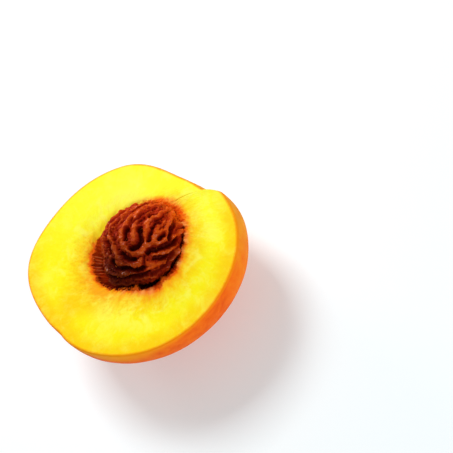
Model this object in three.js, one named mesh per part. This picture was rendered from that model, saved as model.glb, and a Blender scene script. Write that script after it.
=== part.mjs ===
// Half a yellow peach with its stone, lying on its round back with the cut face up.
// The flesh and the skin on it are one solid, grown together. The stone is a second solid that sits
// in the hollow of the flesh and stands proud of the cut.
// Millimetres, +Z up, +X from the blossom tip to the stem, origin on the floor under the middle.

import * as THREE from "three";
import { mergeVertices } from "three/addons/utils/BufferGeometryUtils.js";

// Outline of the cut face. Angles are in degrees about the middle, 0 at the stem.
const CHEEK_RADIUS = 36.1;
const SWELLS = [
  { at: -32, rise: 2.0, spread: 36 },
  { at: 137, rise: 3.4, spread: 25 },
  { at: -162, rise: 0.45, spread: 14 },
];

// The cavity at the stem: steep under the right cheek, easy on the left one.
const STEM_DEPTH = 4.0;
const STEM_RIGHT = [-11, 0];
const STEM_LEFT = [15, 56];
const STEM_FADE = 24;

// The small dimple at the blossom tip.
const TIP = { at: -178, depth: 0.45, spread: 5, fade: 7 };

// The back, from the cut face down to a small flat spot that the half rests on.
const BACK_DEPTH = 36.0;
const REST_CUT = 0.7;
const FACE_Z = BACK_DEPTH - REST_CUT;
const BELLY = { all: 0.105, stem: 0.09, ends: 0.083 };
const EDGE_BEVEL = 0.3;
const BACK_SLOPES = [0, 3, 8, 13, 19, 25, 32, 40, 48, 56, 64, 72];

// The stone: half sizes, the place of its middle and the turn of its long axis from +X. It narrows to
// the stem, has a keel round its edge, and both flanks fall away to the pointed tip.
const STONE = { length: 16.9, width: 14.5, height: 10.2, taper: 0.07 };
const STONE_PLACE = [4.4, 0.8];
const STONE_TURN = 4.5;
const KEEL = { rise: 0.5, spread: 0.09 };
const FLANKS = [
  { at: 148, rise: -0.19, spread: 32 },
  { at: -140, rise: -0.14, spread: 26 },
];
const STONE_DETAIL = 18;
const STONE_CROWDING = 0.35;

// Furrows and pits in the upper side of the stone, each along a short path across its dome: x runs along
// the stone to the stem, y across it. The wall of a furrow falls between these shares of its half width.
const FURROW_WALL = [0.2, 1.3];
const FURROWS = [
  { depth: 2.4, width: 1.1, path: [[1.1, 2.2], [-0.8, 1.2], [-2.5, -0.3]] },
  { depth: 2.6, width: 1.2, path: [[4.0, -1.7], [0.4, -5.4], [-1.8, -5.7], [-3.8, -4.5]] },
  { depth: 1.7, width: 1.0, path: [[9.8, -4.7], [6.9, -5.0], [4.2, -6.0], [2.3, -7.1]] },
  { depth: 1.9, width: 1.2, path: [[7.4, -8.9], [5.7, -9.0]] },
  { depth: 1.9, width: 1.1, path: [[14.9, -5.2], [12.8, -7.6], [10.0, -9.4], [7.9, -10.6]] },
  { depth: 2.5, width: 1.2, path: [[9.6, -11.6], [7.1, -12.1], [2.3, -10.7], [-0.7, -9.2]] },
  { depth: 2.3, width: 1.1, path: [[4.1, -13.6], [1.9, -13.4], [-0.6, -11.9]] },
  { depth: 2.5, width: 1.2, path: [[-7.4, -2.5], [-8.0, -4.6], [-7.8, -6.5], [-6.0, -7.7]] },
  { depth: 2.4, width: 1.3, path: [[-8.3, 7.7], [-9.9, 4.4], [-10.5, 2.0]] },
  { depth: 1.5, width: 0.9, path: [[-3.6, 7.9], [-4.2, 5.8], [-5.8, 4.0]] },
  { depth: 2.4, width: 1.2, path: [[-11.6, -0.8], [-12.7, -3.4], [-10.1, -8.2], [-8.8, -9.9], [-5.9, -11.0]] },
  { depth: 2.0, width: 1.2, path: [[-16.1, -0.9], [-13.5, -7.7], [-8.8, -11.4], [-5.5, -12.8]] },
  { depth: 1.5, width: 1.0, path: [[7.6, 0.5], [6.1, 0.6]] },
  { depth: 1.4, width: 0.9, path: [[10.5, -0.8], [8.8, -0.8]] },
  { depth: 1.3, width: 0.8, path: [[12.7, -3.6], [9.6, -3.5]] },
  { depth: 1.2, width: 0.8, path: [[13.5, 5.9], [5.8, 6.1], [1.5, 6.6], [-2.2, 6.8]] },
  { depth: 1.3, width: 0.8, path: [[15.3, 1.1], [10.7, 2.0], [7.0, 2.5], [2.5, 1.7]] },
  { depth: 1.6, width: 1.0, path: [[5.2, -13.6], [0.0, -14.3], [-5.4, -13.4]] },
  { depth: 1.1, width: 0.8, path: [[-2.5, -9.2], [-5.1, -10.9]] },
  { depth: 1.0, width: 0.7, path: [[11.0, 8.8], [3.5, 10.4], [-4.5, 10.2]] },
];

// Round ridges between them, in the same way. The stone lies lower between the ridges, which rise a
// little on the upper side.
const VALLEY_DEPTH = 0.9;
const CREST_RISE = 0.25;
const RIDGES = [
  { width: 1.0, path: [[2.0, 4.0], [-1.1, 3.1], [-3.9, 1.6]] },
  { width: 1.0, path: [[4.1, 1.3], [1.4, -1.0], [-1.2, -3.6]] },
  { width: 0.8, path: [[6.9, -1.8], [4.2, -4.4], [1.8, -6.3]] },
  { width: 1.0, path: [[-4.1, 0.1], [-5.3, -2.7], [-5.0, -5.8], [-2.7, -7.7], [0.4, -7.8], [3.2, -8.4]] },
  { width: 0.9, path: [[3.2, -8.4], [5.0, -9.9], [7.8, -10.4], [10.0, -11.0], [12.6, -9.6]] },
  { width: 0.8, path: [[11.1, -5.8], [9.4, -5.3], [5.8, -7.3], [3.6, -8.2]] },
  { width: 0.8, path: [[15.7, -3.3], [12.5, -6.3], [9.4, -8.2], [7.8, -10.0]] },
  { width: 0.9, path: [[0.3, -11.1], [2.8, -12.3], [5.5, -13.0], [8.6, -12.3]] },
  { width: 0.9, path: [[-10.5, -3.3], [-10.8, -5.9], [-9.2, -8.2], [-6.9, -9.3], [-4.0, -9.6]] },
  { width: 0.7, path: [[-13.2, -5.6], [-11.5, -8.9], [-7.9, -11.6], [-4.8, -12.3], [-2.4, -12.9]] },
  { width: 0.8, path: [[-11.2, 0.9], [-11.9, -0.2]] },
  { width: 0.9, path: [[-5.6, 7.1], [-7.5, 2.4], [-8.8, -1.2], [-11.0, -3.4]] },
  { width: 0.8, path: [[-4.0, -10.6], [-2.6, -12.6], [0.7, -13.9], [3.8, -14.1], [7.0, -13.2]] },
  { width: 0.8, path: [[13.4, -1.7], [10.3, -2.3], [7.9, -1.7], [6.9, -1.8]] },
  { width: 0.8, path: [[12.8, 4.6], [6.7, 3.6], [4.1, 1.3]] },
  { width: 0.7, path: [[14.7, 6.0], [10.2, 7.2], [5.1, 8.1], [-0.3, 8.8], [-4.4, 9.2]] },
  { width: 0.7, path: [[15.8, 2.5], [11.1, 4.1], [6.0, 5.0], [2.0, 4.0]] },
  { width: 0.7, path: [[16.4, -0.6], [13.4, -1.7]] },
  { width: 1.0, path: [[-10.8, -10.6], [-7.3, -12.8], [-3.0, -14.0]] },
  { width: 0.9, path: [[-15.6, 1.0], [-14.6, -4.4], [-10.8, -10.6]] },
  { width: 0.8, path: [[5.0, -7.6], [7.3, -7.4], [8.9, -8.3]] },
  { width: 0.8, path: [[-2.8, 12.0], [-7.0, 9.7], [-10.5, 9.0], [-13.8, 5.4]] },
  { width: 0.8, path: [[-2.2, 8.6], [-5.6, 7.1]] },
  { width: 0.8, path: [[10.0, 10.4], [3.5, 11.8], [-2.8, 12.0]] },
];

// Low wrinkles where no ridge is near, from end to end.
const WRINKLES = { depth: 0.7, count: 11, sway: 0.8, waves: 5 };

// The hollow round the stone: its clearance at the cut and at the bottom, the wide gap at the tip side
// and two tufts that lean in to the stone, and the torn edge. Angles are about the stone.
const CLEARANCE = { rim: 1.0, bottom: 0.4 };
const GAPS = [
  { at: 160, rise: 1.1, spread: 35 },
  { at: -88, rise: 1.6, spread: 16 },
  { at: -112, rise: 2.0, spread: 12 },
  { at: -152, rise: -1.8, spread: 13 },
  { at: -103, rise: -1.3, spread: 5 },
  { at: -138, rise: -1.3, spread: 5 },
];
const RAGGED = { depth: 0.3, waves: [13, 21, 34] };
const HOLLOW_SLOPES = [8, 18, 30, 43, 57, 72];

// The seam in the flesh from the stem to the stone: the right cheek laps over the left one. It fades out
// over the last share of the way to the stone.
const SEAM = { outer: -3, inner: 7, fade: 0.6, lip: 0.7, lipWidth: 4.5, groove: 0.6, grooveWidth: 0.45 };

// Loft of the flesh: columns round the face, crowded at the stem, and rings across the cut.
const COLUMNS = 100;
const CROWDING = { outer: 0.62, inner: 0.3 };
const FACE_STEPS = [0.015, 0.1, 0.26, 0.44, 0.62, 0.78, 0.9, 0.97];
const SHOULDER = { drop: 0.5, from: 0.8 };

const rad = THREE.MathUtils.degToRad;
const deg = THREE.MathUtils.radToDeg;

function bell(angle, at, spread) {
  const off = THREE.MathUtils.euclideanModulo(angle - at + 180, 360) - 180;
  return Math.exp(-((off / spread) ** 2));
}

// The sum of several rises round an outline.
function bells(list, angle) {
  return list.reduce((sum, { at, rise, spread }) => sum + rise * bell(angle, at, spread), 0);
}

function smooth(from, to, value) {
  return THREE.MathUtils.smoothstep(value, from, to);
}

// Distance of the skin from the middle, at an angle round the face and a slope down the back.
function skinRadius(angle, slope) {
  let radius = CHEEK_RADIUS + bells(SWELLS, angle);
  const stem = smooth(...STEM_RIGHT, angle) * (1 - smooth(...STEM_LEFT, angle));
  radius -= STEM_DEPTH * stem * Math.exp(-((slope / STEM_FADE) ** 2));
  radius -= TIP.depth * bell(angle, TIP.at, TIP.spread) * Math.exp(-((slope / TIP.fade) ** 2));
  const belly = BELLY.all + BELLY.stem * Math.cos(rad(angle)) + BELLY.ends * Math.cos(rad(2 * angle));
  const across = Math.cos(rad(slope));
  return radius * across * (1 + belly * Math.sin(rad(slope)) * across);
}

function skinPoint(angle, slope) {
  const radius = skinRadius(angle, slope);
  const z = FACE_Z - BACK_DEPTH * Math.sin(rad(slope));
  return new THREE.Vector3(radius * Math.cos(rad(angle)), radius * Math.sin(rad(angle)), z);
}

// A point on the plan of the stone, grown outwards, at a height above the cut.
function planPoint(angle, grow, z) {
  const along = Math.cos(rad(angle));
  const across = Math.sin(rad(angle)) * (1 - STONE.taper * along);
  const point = new THREE.Vector3((STONE.length + grow) * along, (STONE.width + grow) * across, 0);
  point.applyAxisAngle(new THREE.Vector3(0, 0, 1), rad(STONE_TURN));
  return point.add(new THREE.Vector3(...STONE_PLACE, z));
}

function rimClearance(angle) {
  let ragged = 0;
  for (const wave of RAGGED.waves) ragged += Math.sin(rad(angle * wave) + wave);
  const torn = (RAGGED.depth * ragged) / Math.sqrt(RAGGED.waves.length);
  return CLEARANCE.rim + bells(GAPS, angle) + torn;
}

// The hollow runs down from its rim as a bowl under the stone.
function hollowPoint(angle, slope) {
  const level = Math.cos(rad(slope));
  const grow = THREE.MathUtils.lerp(CLEARANCE.bottom, rimClearance(angle), level);
  const point = planPoint(angle, grow, 0);
  point.sub(new THREE.Vector3(...STONE_PLACE, 0)).multiplyScalar(level);
  const down = (STONE.height + CLEARANCE.bottom) * Math.sin(rad(slope));
  return point.add(new THREE.Vector3(...STONE_PLACE, FACE_Z - SHOULDER.drop - down));
}

// Height of the cut beside the seam: a rounded lip on the right cheek and a groove at its foot.
function seamHeight(off, fade) {
  const lip = off < 0 ? SEAM.lip * Math.exp(-((off / SEAM.lipWidth) ** 2)) : 0;
  return fade * (lip - SEAM.groove * Math.exp(-((off / SEAM.grooveWidth) ** 2)));
}

function facePoint(column, step) {
  const outer = skinPoint(column.outer, 0);
  const inner = planPoint(column.inner, rimClearance(column.inner), FACE_Z);
  const point = outer.lerp(inner, step);
  const off = rad(column.off) * Math.hypot(point.x, point.y);
  point.z += seamHeight(off, 1 - smooth(SEAM.fade, 1, step));
  point.z -= SHOULDER.drop * smooth(SHOULDER.from, 1, step) ** 2;
  return point;
}

// Each column has one angle on the outline and one on the hollow, so that a column follows the seam.
function columns() {
  const made = [];
  for (let i = 0; i < COLUMNS; i += 1) {
    const even = (360 * (i + 0.5)) / COLUMNS - 180;
    const pull = deg(Math.sin(rad(even)));
    const off = even - CROWDING.outer * pull;
    made.push({ off, outer: SEAM.outer + off, inner: SEAM.inner + even - CROWDING.inner * pull });
  }
  return made;
}

// Joins rings of equal length into one closed surface, from a bottom middle to a top middle.
function closedLoft(rings, bottom, top) {
  const count = rings[0].length;
  const points = [...rings.flat(), bottom, top];
  const faces = [];
  for (let j = 0; j < count; j += 1) {
    const next = (j + 1) % count;
    faces.push(points.length - 2, next, j);
    for (let i = 0; i + 1 < rings.length; i += 1) {
      const low = i * count;
      const high = low + count;
      faces.push(low + j, low + next, high + next, low + j, high + next, high + j);
    }
    const last = (rings.length - 1) * count;
    faces.push(points.length - 1, last + j, last + next);
  }
  return new THREE.BufferGeometry().setFromPoints(points).setIndex(faces);
}

function fleshGeometry() {
  const around = columns();
  const restSlope = deg(Math.asin(FACE_Z / BACK_DEPTH));
  const rings = [restSlope, ...BACK_SLOPES.toReversed()].map((slope) =>
    around.map((column) => skinPoint(column.outer, slope)),
  );
  const edge = rings.at(-1);
  edge.forEach((point) => (point.z -= EDGE_BEVEL));
  for (const step of FACE_STEPS) rings.push(around.map((column) => facePoint(column, step)));
  for (const slope of [0, ...HOLLOW_SLOPES]) {
    rings.push(around.map((column) => hollowPoint(column.inner, slope)));
  }
  const floor = new THREE.Vector3(0, 0, 0);
  return closedLoft(rings, floor, hollowPoint(0, 90));
}

// Height of the smooth dome of the stone over a place in its plan.
function domeHeight(x, y) {
  const inside = 1 - (x / STONE.length) ** 2 - (y / STONE.width) ** 2;
  return STONE.height * Math.sqrt(Math.max(inside, 0));
}

// Paths as lines on the dome, with the same again on the underside, turned over lengthways.
function domeLines(list) {
  const lines = [];
  for (const side of [1, -1]) {
    for (const { depth, width, path } of list) {
      const points = path.map(([x, y]) => new THREE.Vector3(x, side * y, side * domeHeight(x, y)));
      for (let i = 0; i + 1 < points.length; i += 1) {
        lines.push({ depth, width, line: new THREE.Line3(points[i], points[i + 1]) });
      }
    }
  }
  return lines;
}

// How far a point of the smooth stone sinks, from the deepest furrow near it.
function furrowDepth(point, lines) {
  const near = new THREE.Vector3();
  let sink = 0;
  for (const { depth, width, line } of lines) {
    line.closestPointToPoint(point, true, near);
    const off = near.distanceTo(point) / width;
    sink = Math.max(sink, depth * (1 - smooth(...FURROW_WALL, off)));
  }
  return sink;
}

// How high on a ridge a point of the smooth stone lies, and whether any ridge is near.
function ridgeShares(point, lines) {
  const near = new THREE.Vector3();
  let crest = 0;
  let lined = 0;
  for (const { width, line } of lines) {
    line.closestPointToPoint(point, true, near);
    const off = near.distanceTo(point) / width;
    crest = Math.max(crest, Math.max(1 - (off / 1.3) ** 2, 0) ** 0.7);
    lined = Math.max(lined, 1 - smooth(1.5, 3.5, off));
  }
  return { crest, lined };
}

// Narrow valleys between round ridges, fading out at the two ends.
function wrinkleDepth(direction) {
  const round = Math.atan2(direction.z, direction.y);
  const sway = WRINKLES.sway * Math.sin(WRINKLES.waves * direction.x);
  const valley = 1 - Math.abs(Math.sin(WRINKLES.count * round + sway));
  return WRINKLES.depth * valley ** 2 * (1 - direction.x ** 2);
}

function stoneGeometry() {
  const ball = new THREE.IcosahedronGeometry(1, STONE_DETAIL);
  ball.deleteAttribute("normal");
  ball.deleteAttribute("uv");
  const geometry = mergeVertices(ball);
  const position = geometry.getAttribute("position");
  const furrows = domeLines(FURROWS);
  const ridges = domeLines(RIDGES);
  const half = new THREE.Vector3(STONE.length, STONE.width, STONE.height);
  const direction = new THREE.Vector3();
  for (let i = 0; i < position.count; i += 1) {
    direction.fromBufferAttribute(position, i);
    direction.z += STONE_CROWDING;
    direction.normalize();
    const point = direction.clone().multiply(half);
    const normal = direction.clone().divide(half).normalize();
    const keel = KEEL.rise * Math.exp(-((direction.z / KEEL.spread) ** 2));
    const { crest, lined } = ridgeShares(point, ridges);
    const valley = VALLEY_DEPTH * (1 - crest) * lined + wrinkleDepth(direction) * (1 - lined);
    const sink = Math.max(furrowDepth(point, furrows), valley);
    const rise = CREST_RISE * crest * Math.max(direction.z, 0);
    const flank = 1 + bells(FLANKS, deg(Math.atan2(direction.y, direction.x)));
    point.multiply(new THREE.Vector3(flank, flank * (1 - STONE.taper * direction.x), 1));
    point.addScaledVector(normal, keel + rise - sink);
    position.setXYZ(i, point.x, point.y, point.z);
  }
  return geometry;
}

function namedMesh(name, geometry, colour, roughness) {
  geometry.computeVertexNormals();
  const material = new THREE.MeshStandardMaterial({ color: colour, roughness, metalness: 0 });
  const mesh = new THREE.Mesh(geometry, material);
  mesh.name = name;
  return mesh;
}

const flesh = namedMesh("flesh", fleshGeometry(), 0xfbd92a, 0.45);
const stone = namedMesh("stone", stoneGeometry(), 0x7a2408, 0.6);
stone.position.set(...STONE_PLACE, FACE_Z);
stone.rotation.z = rad(STONE_TURN);

const peachHalf = new THREE.Group();
peachHalf.add(flesh, stone);
const middle = new THREE.Box3().setFromObject(peachHalf).getCenter(new THREE.Vector3());
peachHalf.position.set(-middle.x, -middle.y, 0);

export default peachHalf;
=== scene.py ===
import math

import bpy
import numpy as np
from mathutils import Matrix, Vector, noise


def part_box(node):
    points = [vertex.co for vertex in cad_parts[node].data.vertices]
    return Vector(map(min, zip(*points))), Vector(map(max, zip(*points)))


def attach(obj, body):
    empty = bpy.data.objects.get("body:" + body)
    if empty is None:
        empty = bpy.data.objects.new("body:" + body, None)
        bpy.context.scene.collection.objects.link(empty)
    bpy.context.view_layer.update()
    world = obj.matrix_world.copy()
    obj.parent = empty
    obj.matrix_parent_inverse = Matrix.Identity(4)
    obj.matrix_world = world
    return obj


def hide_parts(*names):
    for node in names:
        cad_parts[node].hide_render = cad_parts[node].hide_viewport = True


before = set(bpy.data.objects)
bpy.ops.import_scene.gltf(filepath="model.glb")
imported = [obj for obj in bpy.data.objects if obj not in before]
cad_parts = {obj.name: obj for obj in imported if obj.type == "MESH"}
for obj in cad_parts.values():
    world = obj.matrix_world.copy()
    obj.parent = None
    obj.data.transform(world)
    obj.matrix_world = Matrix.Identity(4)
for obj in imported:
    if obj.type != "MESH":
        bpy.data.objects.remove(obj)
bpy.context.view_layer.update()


# ---------------------------------------------------------------------------- the half
# Half a ripe yellow peach, cut along its suture: firm flesh with the skin grown onto it. The knife
# left a flat cut, with a seam from the stem to the stone where one cheek laps over the other. The
# flesh tore from the stone at the tip side and left a fibrous hollow. Sizes are in millimetres.

MM = 0.001

# The outline of the face, with angles in degrees about its middle, from the stem end. The cheeks swell
# (angle, rise, spread). The notch of the stem has a steep side and a long one, and the steep side fans
# out down the back. The blossom tip has a small dimple.
CHEEK_RADIUS = 36.1
SWELLS = [(-32, 2.0, 36), (137, 3.4, 25), (-162, 0.45, 14)]
STEM_DEPTH, STEM_FADE = 4.0, 24
STEM_RIGHT, STEM_LEFT = (-11, 0), (15, 56)
STEM_FAN = (0.5, 0.25)
TIP_AT, TIP_DEPTH, TIP_SPREAD, TIP_FADE = -178, 0.45, 5, 7

# The round back, fuller towards its two ends, and the soft edge where the skin meets the cut.
BACK_DEPTH, FACE_Z = 36.0, 35.3
BELLY_ALL, BELLY_STEM, BELLY_ENDS = 0.105, 0.09, 0.083
EDGE_RADIUS = 0.6

# The stone's half sizes, how much it narrows to the stem, and its place and turn in the face.
STONE_LENGTH, STONE_WIDTH, STONE_HEIGHT = 16.9, 14.5, 10.2
STONE_TAPER = 0.07
STONE_PLACE = np.array([4.4, 0.8])
STONE_TURN = math.radians(4.5)
MEAN_RADIUS = 16

# The hollow, with angles about the stone. Its rim stands off the stone, and at the gaps it tore further
# off or closer (angle, gap, spread). Two stretches differ: at the stem end the flesh still clings to the
# stone, and at the upper edge it parted cleanly. Tufts lean in from the rim (angle, reach, spread).
RIM_CLEARANCE, BOTTOM_CLEARANCE, LEAST_CLEARANCE = 1.0, 0.4, 0.15
GAPS = [(160, 1.1, 35), (-88, 1.6, 16), (-112, 2.0, 12), (-152, -1.4, 13), (-103, -1.3, 5),
        (-137, -1.4, 3.5)]
TORN_DEPTH, TORN_WAVES = 0.3, (13, 21, 34)
FRAY_SIZE, FRAY_OUT, FRAY_IN = 1.1, 0.25, 0.8
CLING_RIGHT, CLING_LEFT, CLING_OVERLAP = (-38, -24), (36, 58), 0.2
CLEAN_RIGHT, CLEAN_LEFT, CLEAN_SHARE = (14, 60), (127, 109), 0.9
TUFTS = [(-103, 0.2, 5), (-137, 0.4, 3.5), (-31, 0.8, 3.2), (-44, 0.6, 2.8), (-52, 0.7, 3.0), (-64, 0.5, 2.6),
         (-78, 0.6, 3.2), (-119, 0.5, 3.0), (-128, 0.6, 2.8), (-152, 0.4, 2.6)]
TRENCH_DEPTH, TRENCH_DEEPER = 1.1, [(165, 3.4, 35)]
SHOULDER_DROP, SHOULDER_FROM = 0.5, 0.8

# A comb of fibre roots down the torn wall, with teeth of uneven length.
COMB_AT, COMB_SPREAD, COMB_TEETH, COMB_DRIFT, COMB_REACH = 147, 26, 80, 2.5, 0.8
TOOTH_TOP, TOOTH_END, TOOTH_UNEVEN, TOOTH_FADE = 0.8, 2.6, 1.6, 1.6

# The seam from the stem to the stone: a fine groove beside the lip of the cheek that laps over.
SEAM_OUTER, SEAM_INNER, SEAM_FADE, SEAM_LINE = -3, 9, 0.6, 0.4
SEAM_BOW, SEAM_BOW_WIDTH = 1.0, 9
LIP, LIP_WIDTH = 0.7, 4.5
GROOVE, GROOVE_WIDTH = 0.6, 0.3

# The mesh has rings of columns that crowd towards the seam. Its rings lie closer near the stone.
COLUMNS = 480
CROWD_OUTER, CROWD_INNER = 0.62, 0.3
BACK_RINGS, EDGE_RINGS, FACE_RINGS, WALL_RINGS = 60, 7, 98, 40
FACE_EASE, WALL_SLOPE = 0.85, 84
FAR, TINY = 20.0, 1e-9


def bell(angle, at, spread):
    """A smooth rise from 0 to 1 round an outline, at an angle and about this wide."""
    off = (angle - at + 180) % 360 - 180
    return np.exp(-((off / spread) ** 2))


def bells(rises, angle):
    """The sum of several rises (at, rise, spread) round an outline."""
    return sum(rise * bell(angle, at, spread) for at, rise, spread in rises)


def smooth(low, high, value):
    """0 at low and 1 at high, eased, and flat beyond."""
    share = np.clip((value - low) / (high - low), 0, 1)
    return share * share * (3 - 2 * share)


def unit(vectors, least=0.0):
    """Vectors brought to length 1. With a least length, those without any stay 0."""
    return vectors / (np.linalg.norm(vectors, axis=-1, keepdims=True) + least)


def lumps(points, size, octaves=3, shift=0.0):
    """Smooth noise about 0 at these points, with lumps of about this size."""
    places = (np.asarray(points) / size + shift).reshape(-1, 3).tolist()
    found = [noise.fractal(place, 1.0, 2.0, octaves) for place in places]
    return np.array(found).reshape(np.shape(points)[:-1])


def skin_points(angle, slope):
    """Points of the skin, at angles round the face and a slope down the back."""
    radius = CHEEK_RADIUS + bells(SWELLS, angle)
    steep = smooth(STEM_RIGHT[0] - STEM_FAN[0] * slope, STEM_RIGHT[1] + STEM_FAN[1] * slope, angle)
    stem = steep * (1 - smooth(*STEM_LEFT, angle))
    radius = radius - STEM_DEPTH * stem * math.exp(-((slope / STEM_FADE) ** 2))
    radius = radius - TIP_DEPTH * bell(angle, TIP_AT, TIP_SPREAD) * math.exp(-((slope / TIP_FADE) ** 2))
    turn = np.radians(angle)
    belly = BELLY_ALL + BELLY_STEM * np.cos(turn) + BELLY_ENDS * np.cos(2 * turn)
    across = math.cos(math.radians(slope))
    down = math.sin(math.radians(slope))
    radius = radius * across * (1 + belly * down * across)
    height = FACE_Z - BACK_DEPTH * down
    return np.stack([radius * np.cos(turn), radius * np.sin(turn), np.full(len(angle), height)], -1)


def in_place(along, across, height):
    """Points along and across the stone, turned and moved to where it lies in the face."""
    x = along * math.cos(STONE_TURN) - across * math.sin(STONE_TURN) + STONE_PLACE[0]
    y = along * math.sin(STONE_TURN) + across * math.cos(STONE_TURN) + STONE_PLACE[1]
    return np.stack([x, y, height + 0 * x], -1)


def plan_points(angle, grow, height):
    """Points on the plan of the stone, grown outwards, at a height."""
    turn = np.radians(angle)
    along = (STONE_LENGTH + grow) * np.cos(turn)
    across = (STONE_WIDTH + grow) * np.sin(turn) * (1 - STONE_TAPER * np.cos(turn))
    return in_place(along, across, height)


def clung(angle):
    """1 where the flesh still clings to the stem end of the stone, 0 where it tore off."""
    return smooth(*CLING_RIGHT, angle) * (1 - smooth(*CLING_LEFT, angle))


def clean_edge(angle):
    """1 at the upper edge of the hollow, where the flesh parted cleanly from the stone, 0 elsewhere."""
    angle = (angle + 180) % 360 - 180
    return smooth(*CLEAN_RIGHT, angle) * smooth(*CLEAN_LEFT, angle)


def rim_clearance(angle):
    """How far the rim of the hollow stands off the stone where the flesh tore."""
    torn = sum(np.sin(np.radians(angle * wave) + wave) for wave in TORN_WAVES)
    return RIM_CLEARANCE + bells(GAPS, angle) + TORN_DEPTH * torn / math.sqrt(len(TORN_WAVES))


even = 360 * (np.arange(COLUMNS) + 0.5) / COLUMNS - 180
pull = np.degrees(np.sin(np.radians(even)))
seam_off = even - CROWD_OUTER * pull
outer_angle = SEAM_OUTER + seam_off
inner_angle = SEAM_INNER + even - CROWD_INNER * pull
inner_turn = np.radians(inner_angle)
round_stone = np.stack([np.cos(inner_turn), np.sin(inner_turn), 0 * inner_turn], -1)
rim_ring = round_stone * MEAN_RADIUS
cling_share = clung((inner_angle + 180) % 360 - 180)
ragged = 1 - CLEAN_SHARE * clean_edge(inner_angle)
torn_rim = rim_clearance(inner_angle) + ragged * (FRAY_OUT - FRAY_IN * np.abs(lumps(rim_ring, FRAY_SIZE)))
torn_rim = np.maximum(torn_rim - bells(TUFTS, inner_angle), LEAST_CLEARANCE)
clearance = torn_rim - cling_share * (torn_rim + CLING_OVERLAP)
teeth = np.cos(np.radians(COMB_TEETH * inner_angle) + COMB_DRIFT * lumps(rim_ring, 3, 1, 9))
comb = np.clip(teeth + lumps(rim_ring, 3, 1, 5), 0, 1) * bell(inner_angle, COMB_AT, COMB_SPREAD)
tooth_end = TOOTH_END + TOOTH_UNEVEN * lumps(rim_ring, 2, 1, 21)
trench_depth = TRENCH_DEPTH + bells(TRENCH_DEEPER, inner_angle)

# Rings from the resting spot up the back, over the rounded edge of the skin, across the cut and down
# the torn wall of the hollow. Each notes how far its points lie from the skin and from the stone.
rings, skin_gap, stone_gap, seam_line = [], [], [], []


def add_ring(ring, from_skin, from_stone, seam=0.0):
    """Adds a ring, with its distances from the skin and the stone, and 1 where the seam runs."""
    rings.append(ring)
    skin_gap.append(np.broadcast_to(from_skin, COLUMNS))
    stone_gap.append(np.broadcast_to(from_stone, COLUMNS))
    seam_line.append(np.broadcast_to(seam, COLUMNS))


rest_slope = math.degrees(math.asin(FACE_Z / BACK_DEPTH))
edge_slope = math.degrees(math.asin(EDGE_RADIUS / BACK_DEPTH))
for slope in np.linspace(rest_slope, edge_slope, BACK_RINGS):
    add_ring(skin_points(outer_angle, slope), 0.0, FAR)

rim_outer = skin_points(outer_angle, 0)
rim_inner = plan_points(inner_angle, clearance, FACE_Z)
reach = np.linalg.norm(rim_inner - rim_outer, axis=1)
inward = (rim_inner - rim_outer) / reach[:, None]
for lean in np.linspace(0, math.pi / 2, EDGE_RINGS)[1:-1]:
    inside = EDGE_RADIUS * (1 - math.cos(lean))
    ring = rim_outer + inside * inward
    ring[:, 2] -= EDGE_RADIUS * (1 - math.sin(lean))
    add_ring(ring, inside, reach - inside)
skin_rings = len(rings) - 2

for step in np.linspace(0, 1, FACE_RINGS) ** FACE_EASE:
    share = EDGE_RADIUS / reach + (1 - EDGE_RADIUS / reach) * step
    ring = rim_outer + (reach * share)[:, None] * inward
    off = np.radians(seam_off) * np.hypot(ring[:, 0], ring[:, 1])
    ring[:, 1] += SEAM_BOW * np.sin(math.pi * share) * np.exp(-((off / SEAM_BOW_WIDTH) ** 2))
    fade = 1 - smooth(SEAM_FADE, 1, share)
    lip = np.where(off < 0, LIP * np.exp(-((off / LIP_WIDTH) ** 2)), 0)
    ring[:, 2] += fade * (lip - GROOVE * np.exp(-((off / GROOVE_WIDTH) ** 2)))
    ring[:, 2] -= SHOULDER_DROP * smooth(SHOULDER_FROM, 1, share) ** 2
    add_ring(ring, share * reach, (1 - share) * reach, np.exp(-((off / SEAM_LINE) ** 2)) * fade)

for slope in np.linspace(0, WALL_SLOPE, WALL_RINGS)[1:]:
    level = math.cos(math.radians(slope))
    down = (STONE_HEIGHT + BOTTOM_CLEARANCE) * math.sin(math.radians(slope))
    open_share = level * np.exp(-((down / trench_depth) ** 2))
    tooth = COMB_REACH * comb * smooth(0, TOOTH_TOP, down) * smooth(1, 0, (down - tooth_end) / TOOTH_FADE)
    ring = plan_points(inner_angle, BOTTOM_CLEARANCE * (1 - level) + clearance * open_share - tooth, 0)
    ring[:, :2] = STONE_PLACE + (ring[:, :2] - STONE_PLACE) * level
    ring[:, 2] = FACE_Z - SHOULDER_DROP - down
    add_ring(ring, FAR, -down)

half_grid = np.array(rings)
from_skin, from_stone, seam = np.array(skin_gap), np.array(stone_gap), np.array(seam_line)

# The cut waves a little, fibres stand up in ragged ridges round the stone and climb it at its stem end,
# the torn wall has ribs, and the skin swells and dips softly, as on any ripe fruit.
CUT_WAVE, CUT_RIPPLE, CUT_STREAK = 0.14, 0.035, 0.05
STREAK_ROUND, STREAK_LONG = 14, 5
RIDGE_RISE, RIDGE_FADE = 0.5, 1.8
CLIMB, CLIMB_RAGGED, CLIMB_FADE, CLIMB_DOWN = 1.1, 1.6, 0.9, 1.5
RIB_SHARE, RIB_IN, RIB_OUT = 0.5, -0.12, 0.4
SKIN_SWELL = 0.2

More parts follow.
